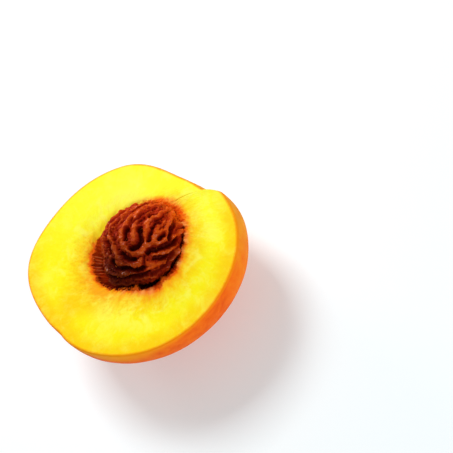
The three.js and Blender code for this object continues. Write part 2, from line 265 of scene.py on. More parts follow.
is_back = (np.arange(len(rings)) < BACK_RINGS)[:, None] & (from_stone > 0)
is_cut = ~is_back & (from_stone >= 0)
streaks = np.concatenate([np.broadcast_to(round_stone[:, :2] * STREAK_ROUND, (*from_stone.shape, 2)),
                          from_stone[..., None] / STREAK_LONG], -1)
ridges = lumps(streaks, 0.5, 3, 3.0)
outside = np.clip(from_stone, 0, None)
ripple = CUT_WAVE * lumps(half_grid, 12, 2) + CUT_RIPPLE * lumps(half_grid, 2.2, 2, 7)
ripple += CUT_STREAK * ragged * ridges
standing = RIDGE_RISE * ragged * ridges * np.exp(-outside / RIDGE_FADE)
half_grid[..., 2] += np.where(is_cut, ripple * smooth(0.3, 2.5, from_skin) + standing, 0)
climb = cling_share * np.exp(-outside / CLIMB_FADE) * (CLIMB + CLIMB_RAGGED * ridges)
half_grid[..., 2] += np.where(from_stone < 0, climb * smooth(CLIMB_DOWN, 0, -from_stone), climb)
outward = unit(half_grid[..., :2] - STONE_PLACE, TINY)
ribs = np.clip(RIB_SHARE * ridges, RIB_IN, RIB_OUT) * smooth(10, 6, -from_stone)
half_grid[..., :2] += outward * np.where(from_stone < 0, ribs, 0)[..., None]
from_middle = unit(half_grid - np.array([0, 0, FACE_Z]))
swell = SKIN_SWELL * lumps(half_grid, 15, 2, 11) * smooth(0, 6, half_grid[..., 2])
swell *= smooth(0, 5, FACE_Z - half_grid[..., 2])
half_grid += np.where(is_back, swell, 0)[..., None] * from_middle


def closed_loft(grid):
    """Points and faces of a closed surface through rings of equal length, with a middle at both ends."""
    count, around = grid.shape[:2]
    start = np.arange(count - 1)[:, None] * around
    here = (start + np.arange(around)).ravel()
    beside = (start + (np.arange(around) + 1) % around).ravel()
    quads = np.stack([here, beside, beside + around, here + around], 1).tolist()
    first, last = count * around, (count - 1) * around
    bottom = [(first, (j + 1) % around, j) for j in range(around)]
    top = [(first + 1, last + j, last + (j + 1) % around) for j in range(around)]
    return with_ends(grid), quads + bottom + top


def with_ends(grid):
    """The rows of a grid as one list, with the mean of the first and of the last ring at the end."""
    flat = grid.reshape(-1, *grid.shape[2:])
    return np.concatenate([flat, [grid[0].mean(0), grid[-1].mean(0)]])


def mesh_piece(name, points, faces, fields, materials, second=None):
    """A smooth mesh in metres from points in millimetres, with a number or a vector at each point.
    second says which faces take the second material."""
    mesh = bpy.data.meshes.new(name)
    mesh.from_pydata((np.asarray(points) * MM).tolist(), [], faces)
    for field, values in fields.items():
        kind, key = ("FLOAT", "value") if values.ndim == 1 else ("FLOAT_VECTOR", "vector")
        attribute = mesh.attributes.new(field, kind, "POINT")
        attribute.data.foreach_set(key, values.astype(np.float32).ravel())
    for material in materials:
        mesh.materials.append(material)
    mesh.shade_smooth()
    if second is not None:
        mesh.polygons.foreach_set("material_index", second.astype(np.int32))
    piece = bpy.data.objects.new(name, mesh)
    bpy.context.scene.collection.objects.link(piece)
    return piece


class Value:
    """One output of a node in a material. Arithmetic on it adds Math nodes."""

    def __init__(self, node, output=0):
        self.node = node
        self.socket = node.outputs[output]

    def add(self, kind, settings=None, inputs=None, output=0):
        """A new node of this kind in the same material: its settings first, then its sockets."""
        node = self.node.id_data.nodes.new("ShaderNode" + kind)
        for name, value in (settings or {}).items():
            setattr(node, name, value)
        for name, value in (inputs or {}).items():
            if isinstance(value, Value):
                node.id_data.links.new(value.socket, node.inputs[name])
            else:
                node.inputs[name].default_value = value
        return Value(node, output)

    def maths(self, operation, *values):
        return self.add("Math", {"operation": operation}, dict(enumerate(values)))

    def __add__(self, other):
        return self.maths("ADD", self, other)

    __radd__ = __add__

    def __sub__(self, other):
        return self.maths("SUBTRACT", self, other)

    def __rsub__(self, other):
        return self.maths("SUBTRACT", other, self)

    def __mul__(self, other):
        return self.maths("MULTIPLY", self, other)

    __rmul__ = __mul__

    def between(self, low, high):
        """0 at low and 1 at high, eased, and flat beyond."""
        inputs = {"Value": self, "From Min": low, "From Max": high}
        return self.add("MapRange", {"interpolation_type": "SMOOTHSTEP"}, inputs)

    def field(self, name, output=2):
        """What the mesh keeps under this name: output 2 is a number, 1 a vector."""
        return self.add("Attribute", {"attribute_name": name}, output=output)

    def grain(self, scale, detail=3.0, roughness=0.55, distortion=0.0, at=None):
        """Noise from 0 to 1 over the piece, or over a vector."""
        inputs = {"Vector": at or self.add("TexCoord", output=3), "Scale": scale, "Detail": detail,
                  "Roughness": roughness, "Distortion": distortion}
        return self.add("TexNoise", inputs=inputs)

    def mixed(self, first, second):
        """A colour between two, by this value."""
        inputs = {0: self, 6: tint(first), 7: tint(second)}
        return self.add("Mix", {"data_type": "RGBA"}, inputs, 2)

    def dimmed(self, factor):
        """A colour times a number."""
        return self.add("VectorMath", {"operation": "SCALE"}, {0: self, "Scale": factor})


def tint(colour):
    """A colour from 0 to 255 as it looks, as the linear numbers that a shader takes."""
    if isinstance(colour, Value):
        return colour
    shares = [part / 255 for part in colour]
    return (*[s / 12.92 if s <= 0.04045 else ((s + 0.055) / 1.055) ** 2.4 for s in shares], 1.0)


def new_finish(name, constants):
    """A material, and its shader with these constants."""
    material = bpy.data.materials.new(name)
    material.use_nodes = True
    shader = material.node_tree.nodes["Principled BSDF"]
    for socket, value in constants.items():
        shader.inputs[socket].default_value = value
    return material, Value(shader)


def wear(shader, links):
    """Links values to the sockets of a shader."""
    for name, value in links.items():
        shader.node.id_data.links.new(value.socket, shader.node.inputs[name])


def bumped(height, distance, strength=1.0):
    """The normal of a surface that a height from 0 to 1 raises by a distance in millimetres."""
    return height.add("Bump", inputs={"Height": height, "Distance": distance * MM, "Strength": strength})


# Flesh: lemon to golden yellow and wet, gold by the skin and orange-red where its fibres met the stone.
# Pale and amber streaks run out from the stone.
LEMON, YOLK, GOLD = (255, 254, 46), (254, 240, 14), (252, 194, 4)
PALE, STRAW = (255, 252, 100), (236, 172, 16)
AMBER, EMBER, RUST, BLOOD = (252, 158, 14), (240, 96, 8), (230, 74, 10), (160, 26, 8)
TOOTH_AND_HIGHLIGHT, TUFT, WALL_LIGHT_ORANGE, PAINTED_SHADOW_RED = (250, 126, 72), (255, 160, 76), (255, 100, 20), (96, 14, 6)

# Where each colour fades in, as distances from the skin or the stone. Below 0 lies the wall of the hollow.
RIM_GOLD, CUT_AMBER = (8.0, 0.8), (1.1, 0.4)
PALE_FROM, PALE_TO = (1.5, 5.0), (17.0, 7.0)
HALO_GOLD, CLEAN_GOLD, HALO_STRAW = (10.5, 3.5), (5.0, 2.4), (10.0, 3.0)
HALO_AMBER, HALO_EMBER, TORN_EDGE = (4.8, 1.2), (1.9, 0.5), (0.5, -0.9)
CLING_AMBER, CLING_EMBER = (3.6, 1.6), (2.2, 0.9)
WALL_LIGHT_DEPTH, WALL_SHADE_DEPTH = (-5.0, -0.5), (-3.2, -5.5)
TOOTH_TIPS, TOOTH_ROOTS = (-4.0, -2.8), (-0.6, -1.4)
TUFT_INSIDE, TUFT_OUTSIDE = (-1.6, 0.2), (2.6, 0.8)
SEAM_STRAW, SEAM_BLOOD = (16.0, 3.0), (6.0, 2.0)
MARBLE_FROM, SPECK_FROM, SPECK_TO = (0.5, 3.0), (0.4, 1.5), (13.0, 5.0)

flesh, flesh_shader = new_finish("peach_flesh", {
    "IOR": 1.36, "Specular IOR Level": 0.045, "Subsurface Weight": 0.12, "Subsurface Scale": 0.0012,
    "Subsurface Radius": (1.0, 0.6, 0.15), "Coat Roughness": 0.2,
})
skinward = flesh_shader.field("from_skin")
stoneward = flesh_shader.field("from_stone")
streak_at = flesh_shader.field("streaks", 1)
haloed = flesh_shader.field("haloed")
halo_close = flesh_shader.field("halo_close")
golden = flesh_shader.field("golden")
clinging = flesh_shader.field("clinging")
stem_reach = flesh_shader.field("stem_reach")
fibrous = flesh_shader.field("fibrous")
combed = flesh_shader.field("combed")
painted_wall_light = flesh_shader.field("painted_wall_light")
tufted = flesh_shader.field("tufted")
painted_lemon_light = flesh_shader.field("painted_lemon_light")
painted_shadow_edge = flesh_shader.field("painted_shadow_edge")
mellow = flesh_shader.field("mellow")
creamy = flesh_shader.field("creamy")
seamed = flesh_shader.field("seam")
fine = flesh_shader.grain(1.5, 4.0, 0.6, 0.3, streak_at)
coarse = flesh_shader.grain(0.45, 3.0, 0.6, 0.6, streak_at)
patch = flesh_shader.grain(150.0, 3.0, 0.6, 0.8)
blot = flesh_shader.grain(420.0, 3.0, 0.65, 1.0)
flecks = flesh_shader.grain(1.7, 5.0, 0.68, 0.8, streak_at)
pulp = flesh_shader.grain(700.0, 4.0, 0.65, 1.2)

# The cut: gold by the skin, a pale ring, and round the stone a halo of gold, straw, amber and ember.
# Painted light: the cut is paler lemon towards the side the light comes from and yolk yellow away from it.
flesh_colour = painted_lemon_light.mixed(YOLK, LEMON)
rim_reach = skinward + (coarse - 0.5) * 5.0 + (patch - 0.5) * 4.0
flesh_colour = (golden * rim_reach.between(*RIM_GOLD) * 0.68).mixed(flesh_colour, GOLD)
ring_near = stoneward.between(*PALE_FROM) * stoneward.between(*PALE_TO)
flesh_colour = (ring_near * (patch * 0.7 + coarse * 0.3).between(0.5, 0.64) * 0.6).mixed(flesh_colour, PALE)
halo_waves = ((blot - 0.5) * 7.0 + (patch - 0.5) * 7.0) * (fibrous * 0.6 + 0.4)
halo_reach = (stoneward + (fine - 0.5) * 3.0 + halo_waves) * halo_close
flesh_colour = (haloed * halo_reach.between(*HALO_GOLD) * 0.66).mixed(flesh_colour, GOLD)
flesh_colour = ((1.0 - haloed) * stoneward.between(*CLEAN_GOLD) * 0.4).mixed(flesh_colour, GOLD)
freckled = fibrous * (flecks * 0.6 + blot * 0.4).between(0.5, 0.62)
flesh_colour = (haloed * freckled * stoneward.between(*HALO_STRAW) * 0.65).mixed(flesh_colour, STRAW)
flesh_colour = (haloed * halo_reach.between(*HALO_AMBER) * 0.85).mixed(flesh_colour, AMBER)
# A painted shadow along the hollow's edge at the tip end moves where the ember and the torn wall begin.
ember_reach = stoneward + painted_shadow_edge + (fine - 0.5) * 2.2 + (blot - 0.5) * 2.0
flesh_colour = (haloed * ember_reach.between(*HALO_EMBER) * 0.9).mixed(flesh_colour, EMBER)
cling_reach = ember_reach - stem_reach
flesh_colour = (clinging * cling_reach.between(*CLING_AMBER)).mixed(flesh_colour, AMBER)
cling_glow = clinging * (cling_reach + (fine - 0.5) * 2.0).between(*CLING_EMBER)
flesh_colour = cling_glow.mixed(flesh_colour, EMBER)

# The torn wall of the hollow: blood red to rust, with painted shade in its depth and along a stretch of its
# edge at the tip end, painted light on one stretch of it, and the comb of pale fibre roots, their crests
# partly a painted highlight.
wall_colour = (fine + stoneward * 0.04).between(0.2, 0.5).mixed(BLOOD, RUST)
# Painted light: one stretch of the wall is lightened to bright orange, as if lit.
wall_light_share = painted_wall_light * fine.between(0.1, 0.4) * stoneward.between(*WALL_LIGHT_DEPTH)
wall_colour = wall_light_share.mixed(wall_colour, WALL_LIGHT_ORANGE)
# Painted shadow along the hollow's edge at the tip end, and painted shade deeper down the wall.
wall_colour = (painted_shadow_edge.between(0.15, 0.6) * 0.9).mixed(wall_colour, PAINTED_SHADOW_RED)
wall_colour = (stoneward.between(*WALL_SHADE_DEPTH) * 0.7).mixed(wall_colour, PAINTED_SHADOW_RED)
tooth_tips = (stoneward + (blot - 0.5) * 5.0).between(*TOOTH_TIPS)
tooth_roots = (stoneward + (blot - 0.5) * 2.0).between(*TOOTH_ROOTS)
teeth_band = tooth_tips * tooth_roots
# The pale comb teeth: partly the fibre roots' own colour and partly a painted highlight on their crests.
wall_colour = (combed.between(0.4, 0.9) * teeth_band * fine.between(0.3, 0.5)).mixed(wall_colour, TOOTH_AND_HIGHLIGHT)
torn = ember_reach.between(*TORN_EDGE)
flesh_colour = torn.mixed(flesh_colour, wall_colour)
tuft_share = tufted * (stoneward + fine).between(*TUFT_INSIDE) * stoneward.between(*TUFT_OUTSIDE)
flesh_colour = tuft_share.mixed(flesh_colour, TUFT)
flesh_colour = (skinward.between(*CUT_AMBER) * 0.85).mixed(flesh_colour, AMBER)
# Along the seam a darker straw line, red near the stone: partly the seam's own fibres and partly painted
# shade in its groove.
flesh_colour = (seamed * stoneward.between(*SEAM_STRAW) * 0.8).mixed(flesh_colour, STRAW)
flesh_colour = (seamed * stoneward.between(*SEAM_BLOOD) * 0.35).mixed(flesh_colour, BLOOD)

# Riper and paler blotches, and the marbling of the cut flesh.
blotches = (patch - 0.5) * 0.8 + (blot - 0.5) * 0.6
flesh_colour = ((mellow + mellow * blotches) * 0.8).mixed(flesh_colour, GOLD)
flesh_colour = ((creamy + creamy * blotches) * 0.9).mixed(flesh_colour, PALE)
cells = flesh_shader.grain(2600.0, 2.0, 0.6)
marbled = flecks * 0.7 + pulp * 0.3
veined = stoneward.between(*MARBLE_FROM) * marbled.between(0.5, 0.68)
flesh_colour = (veined * 0.16).mixed(flesh_colour, PALE)
clouded = stoneward.between(*MARBLE_FROM) * (patch * 0.7 + blot * 0.3).between(0.44, 0.66)
flesh_colour = (clouded * 0.3).mixed(flesh_colour, PALE)
speckled = fibrous * stoneward.between(*SPECK_FROM) * stoneward.between(*SPECK_TO)
flesh_colour = (speckled * marbled.between(0.52, 0.36) * 0.6).mixed(flesh_colour, STRAW)
wear(flesh_shader, {
    "Base Color": flesh_colour,
    "Coat Weight": torn * fine.between(0.4, 0.6) * 0.5,
    "Roughness": 0.32 + 0.25 * cells,
    "Normal": bumped(cells * 0.3 + fine * haloed * 0.5 + blot * 0.2, 0.3, 0.6),
})

# Skin: golden yellow with an orange-red blush on the sunny cheeks, pale freckles and a short velvet.
HONEY, APRICOT, BLUSH, FRECKLE = (252, 168, 6), (243, 106, 4), (214, 48, 4), (255, 190, 50)
STALK, GILT, GLOW = (255, 170, 14), (255, 150, 4), (255, 160, 6)
GILT_BELOW, GLOW_BELOW = (1.7, 0.1), (2.2, 0.2)

skin, skin_shader = new_finish("peach_skin", {
    "IOR": 1.4, "Specular IOR Level": 0.06, "Subsurface Weight": 0.08, "Subsurface Scale": 0.0012,
    "Subsurface Radius": (1.0, 0.4, 0.1), "Sheen Weight": 0.03, "Sheen Roughness": 0.4,
    "Sheen Tint": (1.0, 0.75, 0.4, 1.0),
})
blush_at = skin_shader.field("blush")
cavity = skin_shader.field("cavity")
below_cut = skin_shader.field("below_cut")
glowing = skin_shader.field("glowing")
mottle = skin_shader.grain(170.0, 5.0, 0.65, 0.6)
clouds = skin_shader.grain(36.0, 3.0, 0.55, 0.9)
ripe = (blush_at + (clouds - 0.5) * 0.9 + (mottle - 0.5) * 0.6).between(0.0, 0.7)
rosy = (blush_at + (clouds - 0.5) * 0.8 + (mottle - 0.5) * 1.1).between(0.55, 1.2)
skin_colour = ripe.mixed(HONEY, APRICOT)
skin_colour = (rosy * 0.85).mixed(skin_colour, BLUSH)
skin_colour = (cavity * 0.55).mixed(skin_colour, STALK)
skin_colour = (below_cut.between(*GILT_BELOW) * 0.75).mixed(skin_colour, GILT)
# Painted light: a gold glow on the skin just below the cut, along one stretch of the edge.
skin_colour = (glowing * below_cut.between(*GLOW_BELOW)).mixed(skin_colour, GLOW)
dots = skin_shader.add("TexVoronoi", inputs={"Vector": skin_shader.add("TexCoord", output=3), "Scale": 560.0})
skin_colour = (dots.between(0.2, 0.1) * 0.13).mixed(skin_colour, FRECKLE)
velvet = skin_shader.grain(5200.0, 2.0, 0.7)
wear(skin_shader, {
    "Base Color": skin_colour,
    "Roughness": 0.5 + 0.25 * mottle,
    "Normal": bumped(velvet * 0.6 + mottle * 0.4, 0.12, 0.5),
})

half_points, half_faces = closed_loft(half_grid)
low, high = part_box("flesh")
middle = (half_points.min(0) + half_points.max(0)) / 2
middle[:2] -= np.array([low.x + high.x, low.y + high.y]) / 2 / MM
middle[2] = 0

# What the mesh keeps for its two finishes. Places go round the stone or, for the skin, round the face
# (angle, share, spread), and patches of the cut lie on it (x, y, radius, share).
SEAM_HAIRS, HAIRS_FROM_STONE, HAIRS_WIDTH = [(57, 0.7, 4), (49, 0.5, 2.5)], 1.6, 1.1
HALO_WIDER, STEM_GLOW, PAINTED_SHADOW_AT = [(186, 0.42, 25)], [(18, 0.9, 22)], [(-172, 0.8, 24)]
FIBRES_AT, WALL_LIGHT_AT, GOLD_AT = (178, 62), (120, 24), (152, 28)
GOLD_SIDE, LIGHT_SIDE_X, LIGHT_SIDE_Y = -123, 0.7, 0.6
CAVITY_AT, GLOW_AT, GILT_WIDER = (12, 26), (-146, 24), [(-135, 3.0, 26)]
MELLOW_PATCHES = [(-27, 4, 5, 0.7), (-30, 1, 4, 0.3)]
CREAMY_PATCHES = [(-20, -9, 4, 0.6), (15, 18, 6, 0.6), (10, 22, 6, 0.3)]

facing = unit(half_grid - np.array([0, 0, FACE_Z]))
stone_angle = np.broadcast_to(inner_angle, from_stone.shape)
edge_angle = np.broadcast_to(outer_angle, from_stone.shape)
# Directions across and towards the side the light comes from, for the painted light on the cut.
cut_across_light = 0.76 * half_grid[..., 0] - 0.65 * half_grid[..., 1]
cut_towards_light = LIGHT_SIDE_Y * half_grid[..., 1] + LIGHT_SIDE_X * half_grid[..., 0]
gold_side = smooth(-0.5, -0.05, np.cos(np.radians(edge_angle - GOLD_SIDE)))
hairs = bells(SEAM_HAIRS, stone_angle) * np.exp(-((from_stone - HAIRS_FROM_STONE) / HAIRS_WIDTH) ** 2)


def patches(places):
    """The sum of round patches (x, y, radius, share) on the cut."""
    total = 0
    for x, y, radius, share in places:
        off = (half_grid[..., 0] - x) ** 2 + (half_grid[..., 1] - y) ** 2
        total = total + share * np.exp(-off / radius**2)
    return total


fields = {
    "from_skin": from_skin,
    "from_stone": from_stone,
    "streaks": streaks,
    "seam": seam + hairs,
    "haloed": 1 - 0.95 * clean_edge(stone_angle),
    "halo_close": 1 - bells(HALO_WIDER, stone_angle),
    "clinging": clung((stone_angle + 180) % 360 - 180),
    "stem_reach": 0.7 + bells(STEM_GLOW, stone_angle),
    # Painted shadow along the hollow's edge at the tip end.
    "painted_shadow_edge": bells(PAINTED_SHADOW_AT, stone_angle),
    "mellow": patches(MELLOW_PATCHES),
    "creamy": patches(CREAMY_PATCHES),
    "fibrous": 0.2 + 0.8 * bell(stone_angle, *FIBRES_AT),
    # Painted light on one stretch of the torn wall.
    "painted_wall_light": bell(stone_angle, *WALL_LIGHT_AT),
    "combed": np.broadcast_to(comb, from_stone.shape),
    "tufted": np.clip(bells(TUFTS, stone_angle) * 1.6, 0, 1),
    "golden": (0.15 + 0.85 * gold_side) * (1 + 0.3 * bell(edge_angle, *GOLD_AT)),
    # Painted light on the cut, towards the side the light comes from.
    "painted_lemon_light": smooth(-12, 16, cut_towards_light - cut_across_light**2 / 100),
    "blush": 0.42 - 0.22 * facing[..., 1] - 0.22 * facing[..., 0] - 0.3 * facing[..., 2],
    "below_cut": (FACE_Z - half_grid[..., 2]) / (1 + bells(GILT_WIDER, edge_angle)),
    # Painted light: where the glow below the cut lies.
    "glowing": bell(edge_angle, *GLOW_AT),
    "cavity": bell(edge_angle, *CAVITY_AT) * smooth(14, 2, FACE_Z - half_grid[..., 2]) * is_back,
}
skinned = np.zeros(len(half_faces), bool)
skinned[: skin_rings * COLUMNS] = True
skinned[(len(rings) - 1) * COLUMNS : len(rings) * COLUMNS] = True

half = mesh_piece("peach_half", half_points - middle, half_faces,
                  {name: with_ends(values) for name, values in fields.items()}, [flesh, skin], skinned)
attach(half, "root")
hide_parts("flesh")


# ---------------------------------------------------------------------------- the stone
# The whole stone, woody and red-brown, standing proud of the cut. Deep furrows and pits run along it
# between round ridges, a keel runs round its edge, and damp threads of flesh cling to it.

# Furrows (depth, half width, path) and ridges (half width, path) across its dome: x runs along the stone
# to the stem, y across it. Between the ridges it lies lower.
FURROWS = [
    (2.4, 1.1, [(1.1, 2.2), (-0.8, 1.2), (-2.5, -0.3)]),
    (2.6, 1.2, [(4.0, -1.7), (0.4, -5.4), (-1.8, -5.7), (-3.8, -4.5)]),
    (1.7, 1.0, [(9.8, -4.7), (6.9, -5.0), (4.2, -6.0), (2.3, -7.1)]),
    (1.9, 1.2, [(7.4, -8.9), (5.7, -9.0)]),
    (1.9, 1.1, [(14.9, -5.2), (12.8, -7.6), (10.0, -9.4), (7.9, -10.6)]),
    (2.5, 1.2, [(9.6, -11.6), (7.1, -12.1), (2.3, -10.7), (-0.7, -9.2)]),
    (2.3, 1.1, [(4.1, -13.6), (1.9, -13.4), (-0.6, -11.9)]),
    (2.5, 1.2, [(-7.4, -2.5), (-8.0, -4.6), (-7.8, -6.5), (-6.0, -7.7)]),
    (2.4, 1.3, [(-8.3, 7.7), (-9.9, 4.4), (-10.5, 2.0)]),
    (1.5, 0.9, [(-3.6, 7.9), (-4.2, 5.8), (-5.8, 4.0)]),
    (2.4, 1.2, [(-11.6, -0.8), (-12.7, -3.4), (-10.1, -8.2), (-8.8, -9.9), (-5.9, -11.0)]),
    (2.0, 1.2, [(-16.1, -0.9), (-13.5, -7.7), (-8.8, -11.4), (-5.5, -12.8)]),
    (1.5, 1.0, [(7.6, 0.5), (6.1, 0.6)]),
    (1.4, 0.9, [(10.5, -0.8), (8.8, -0.8)]),
    (1.3, 0.8, [(12.7, -3.6), (9.6, -3.5)]),
    (1.2, 0.8, [(13.5, 5.9), (5.8, 6.1), (1.5, 6.6), (-2.2, 6.8)]),
    (1.3, 0.8, [(15.3, 1.1), (10.7, 2.0), (7.0, 2.5), (2.5, 1.7)]),
    (1.6, 1.0, [(5.2, -13.6), (0.0, -14.3), (-5.4, -13.4)]),
    (1.1, 0.8, [(-2.5, -9.2), (-5.1, -10.9)]),
    (1.0, 0.7, [(11.0, 8.8), (3.5, 10.4), (-4.5, 10.2)]),
]
RIDGES = [
    (1.0, [(2.0, 4.0), (-1.1, 3.1), (-3.9, 1.6)]),
    (1.0, [(4.1, 1.3), (1.4, -1.0), (-1.2, -3.6)]),
    (0.8, [(6.9, -1.8), (4.2, -4.4), (1.8, -6.3)]),
    (1.0, [(-4.1, 0.1), (-5.3, -2.7), (-5.0, -5.8), (-2.7, -7.7), (0.4, -7.8), (3.2, -8.4)]),
    (0.9, [(3.2, -8.4), (5.0, -9.9), (7.8, -10.4), (10.0, -11.0), (12.6, -9.6)]),
    (0.8, [(11.1, -5.8), (9.4, -5.3), (5.8, -7.3), (3.6, -8.2)]),
    (0.8, [(15.7, -3.3), (12.5, -6.3), (9.4, -8.2), (7.8, -10.0)]),
    (0.9, [(0.3, -11.1), (2.8, -12.3), (5.5, -13.0), (8.6, -12.3)]),
    (0.9, [(-10.5, -3.3), (-10.8, -5.9), (-9.2, -8.2), (-6.9, -9.3), (-4.0, -9.6)]),
    (0.7, [(-13.2, -5.6), (-11.5, -8.9), (-7.9, -11.6), (-4.8, -12.3), (-2.4, -12.9)]),
    (0.8, [(-11.2, 0.9), (-11.9, -0.2)]),
    (0.9, [(-5.6, 7.1), (-7.5, 2.4), (-8.8, -1.2), (-11.0, -3.4)]),
    (0.8, [(-4.0, -10.6), (-2.6, -12.6), (0.7, -13.9), (3.8, -14.1), (7.0, -13.2)]),
    (0.8, [(13.4, -1.7), (10.3, -2.3), (7.9, -1.7), (6.9, -1.8)]),
    (0.8, [(12.8, 4.6), (6.7, 3.6), (4.1, 1.3)]),
    (0.7, [(14.7, 6.0), (10.2, 7.2), (5.1, 8.1), (-0.3, 8.8), (-4.4, 9.2)]),
    (0.7, [(15.8, 2.5), (11.1, 4.1), (6.0, 5.0), (2.0, 4.0)]),
    (0.7, [(16.4, -0.6), (13.4, -1.7)]),
    (1.0, [(-10.8, -10.6), (-7.3, -12.8), (-3.0, -14.0)]),
    (0.9, [(-15.6, 1.0), (-14.6, -4.4), (-10.8, -10.6)]),
    (0.8, [(5.0, -7.6), (7.3, -7.4), (8.9, -8.3)]),
    (0.8, [(-2.8, 12.0), (-7.0, 9.7), (-10.5, 9.0), (-13.8, 5.4)]),
    (0.8, [(-2.2, 8.6), (-5.6, 7.1)]),
    (0.8, [(10.0, 10.4), (3.5, 11.8), (-2.8, 12.0)]),
]

# Both wander and fray. Furrows have a floor and steep walls, and crests are round and uneven. A maze of
# lesser ridges, stripes, knobs, grain, cracks and pores covers the rest.
SWAY, FRAY = 0.5, 0.16
FURROW_WALL = (0.35, 1.2)
VALLEY_DEPTH, FLOOR_RISE, PORE_DEPTH = 0.85, 0.35, 0.4
CREST_RISE, CREST_UNEVEN, CREST_ROUND = 0.25, 0.6, 0.6
CREST_WIDTH, WIDTH_UNEVEN, CREST_APART = 1.32, 0.6, (1.5, 3.5)
MAZE_SHARE, MAZE_ROUND = 0.9, 0.7
MAZE_LINE, STRIPE_LINE, FLOOR_LINE, CRACK_LINE = 0.22, 0.2, 0.3, 0.16
KNOB_RISE, GRAIN_RISE, CRACK_DEPTH, STRIPE_DEPTH = 0.25, 0.07, 0.12, 0.3

# A keel runs round its edge, and its flanks are flatter at two places (angle, rise, spread). The mesh is
# finer on the dome.
KEEL_RISE, KEEL_SPREAD = 0.5, 0.09
FLANKS = [(148, -0.19, 32), (-140, -0.14, 26)]
STONE_CROWDING = 0.5
STONE_RINGS, STONE_COLUMNS = 270, 330

ring_turn, column_turn = np.meshgrid(
    math.pi * (1 - (np.arange(STONE_RINGS) + 0.5) / STONE_RINGS),
    2 * math.pi * np.arange(STONE_COLUMNS) / STONE_COLUMNS, indexing="ij")
way = np.stack([np.cos(ring_turn), np.sin(ring_turn) * np.cos(column_turn),
                np.sin(ring_turn) * np.sin(column_turn)], -1)
way[..., 2] += STONE_CROWDING
way = unit(way)
half_sizes = np.array([STONE_LENGTH, STONE_WIDTH, STONE_HEIGHT])
smooth_stone = way * half_sizes
stone_out = unit(way / half_sizes)
sway = np.stack([lumps(smooth_stone, 2.4, 2, shift) for shift in (0, 31, 57)], -1)
fray = np.stack([lumps(smooth_stone, 0.8, 2, shift) for shift in (7, 43, 71)], -1)
swayed = smooth_stone + SWAY * sway + FRAY * fray


def on_dome(x, y, side):
    """The point of the smooth stone over x and y, or under them where side is -1."""
    inside = 1 - (x / STONE_LENGTH) ** 2 - (y / STONE_WIDTH) ** 2
    return np.array([x, side * y, side * STONE_HEIGHT * math.sqrt(max(inside, 0))])


def from_path(points, path):
    """Distance of points from a path across the dome, or from its twin on the underside."""
    nearest = np.inf
    for side in (1, -1):
        line = [on_dome(x, y, side) for x, y in path]
        for start, end in zip(line, line[1:]):
            along = end - start
            share = np.clip(((points - start) @ along) / (along @ along), 0, 1)
            apart = np.linalg.norm(points - start - share[..., None] * along, axis=-1)
            nearest = np.minimum(nearest, apart)
    return nearest


def drawn_out(points, share):
    """Points pressed together along the stone, so that noise over them is drawn out along it."""
    return points * np.array([share, 1.0, 1.0])


def lines(points, size, width, shift):
    """Winding lines: 1 in the middle of a line, 0 beside it."""
    return np.clip(1 - np.abs(lumps(points, size, 1, shift)) / width, 0, 1)


furrow = np.zeros(way.shape[:2])
for depth, width, path in FURROWS:
    furrow = np.maximum(furrow, depth * (1 - smooth(*FURROW_WALL, from_path(swayed, path) / width)))
crest = np.zeros(way.shape[:2])
lined = np.zeros(way.shape[:2])
crest_width = CREST_WIDTH + WIDTH_UNEVEN * lumps(smooth_stone, 2.0, 2, 37)
for width, path in RIDGES:
    off = from_path(swayed, path) / width
    crest = np.maximum(crest, np.clip(1 - (off / crest_width) ** 2, 0, 1) ** CREST_ROUND)
    lined = np.maximum(lined, 1 - smooth(*CREST_APART, off))

# A maze of lesser ridges fills what lies between them, and thin stripes run along one flank.
maze = lines(drawn_out(smooth_stone + 0.3 * sway, 0.5), 2.3, MAZE_LINE, 90) ** MAZE_ROUND
crest = np.maximum(crest, MAZE_SHARE * maze * (1 - lined))
striped = smooth(3, 8, smooth_stone[..., 1]) * smooth(-11, -6, smooth_stone[..., 0])
stripes = lines(drawn_out(smooth_stone + 0.35 * sway, 0.14), 1.15, STRIPE_LINE, 83) * striped
floor_maze = lines(drawn_out(swayed, 0.6), 1.2, FLOOR_LINE, 40)
valley = (VALLEY_DEPTH - FLOOR_RISE * floor_maze) * (1 - crest)
pores = smooth(0.18, 0.5, lumps(smooth_stone, 0.9, 1, 23)) * PORE_DEPTH * (1.1 - crest)
sink = np.maximum(furrow, valley) + pores
grain = lumps(drawn_out(smooth_stone, 0.35), 0.45, 2, 61)
cracks = lines(drawn_out(swayed, 0.55), 0.95, CRACK_LINE, 29)
knobs = KNOB_RISE * lumps(smooth_stone, 1.6, 2, 5) + GRAIN_RISE * grain
knobs = knobs - CRACK_DEPTH * cracks - STRIPE_DEPTH * stripes
crest_height = (CREST_RISE + CREST_UNEVEN * lumps(smooth_stone, 2.6, 2, 77)) * crest
keel = KEEL_RISE * np.exp(-((way[..., 2] / KEEL_SPREAD) ** 2))
way_angle = np.degrees(np.arctan2(way[..., 1], way[..., 0]))
flank = 1 + bells(FLANKS, way_angle)
narrow = 1 - STONE_TAPER * way[..., 0]
stone_grid = smooth_stone * np.stack([flank, flank * narrow, np.ones_like(flank)], -1)
stone_grid += stone_out * (keel - sink + crest_height + knobs)[..., None]

turned = in_place(stone_grid[..., 0], stone_grid[..., 1], stone_grid[..., 2] + FACE_Z)
stone_points, stone_faces = closed_loft(turned)

